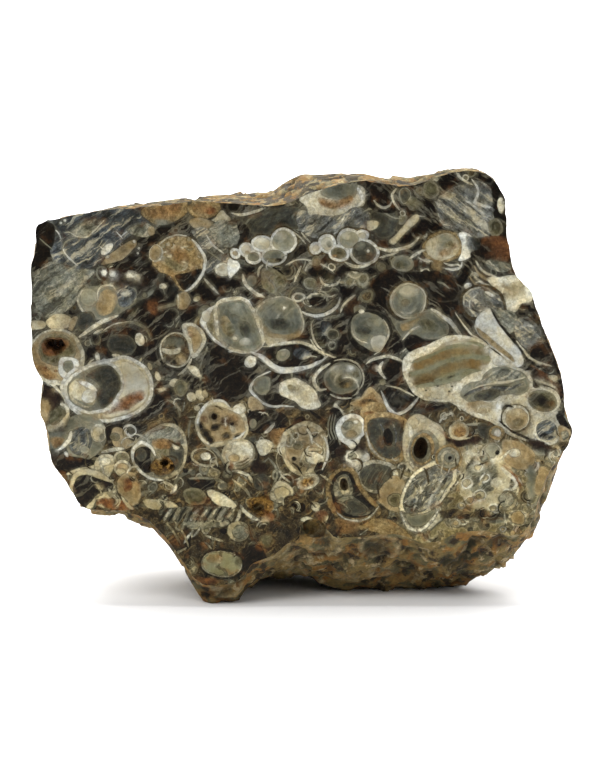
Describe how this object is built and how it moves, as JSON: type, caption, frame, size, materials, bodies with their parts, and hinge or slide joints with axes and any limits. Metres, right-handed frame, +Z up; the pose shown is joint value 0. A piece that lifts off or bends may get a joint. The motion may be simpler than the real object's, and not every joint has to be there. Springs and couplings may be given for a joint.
{
  "type": "turritella agate specimen",
  "caption": "Natural lump of turritella agate: fossil snail shells in chalcedony, sawn and polished flat on one side, rough rind elsewhere, standing on its rind",
  "frame": {"origin": "the middle of the stone's bounding box seen from above, at the level it stands on", "axes": "+Z up; the polished face is vertical and looks along -Y; +X is to the right of someone who looks at the polished face; the stone is longest along X"},
  "size_m": [0.0908, 0.0442, 0.0742],
  "materials": {
    "agate": "satin"
  },
  "bodies": {
    "root": {"stone": "agate"}
  },
  "joints": []
}
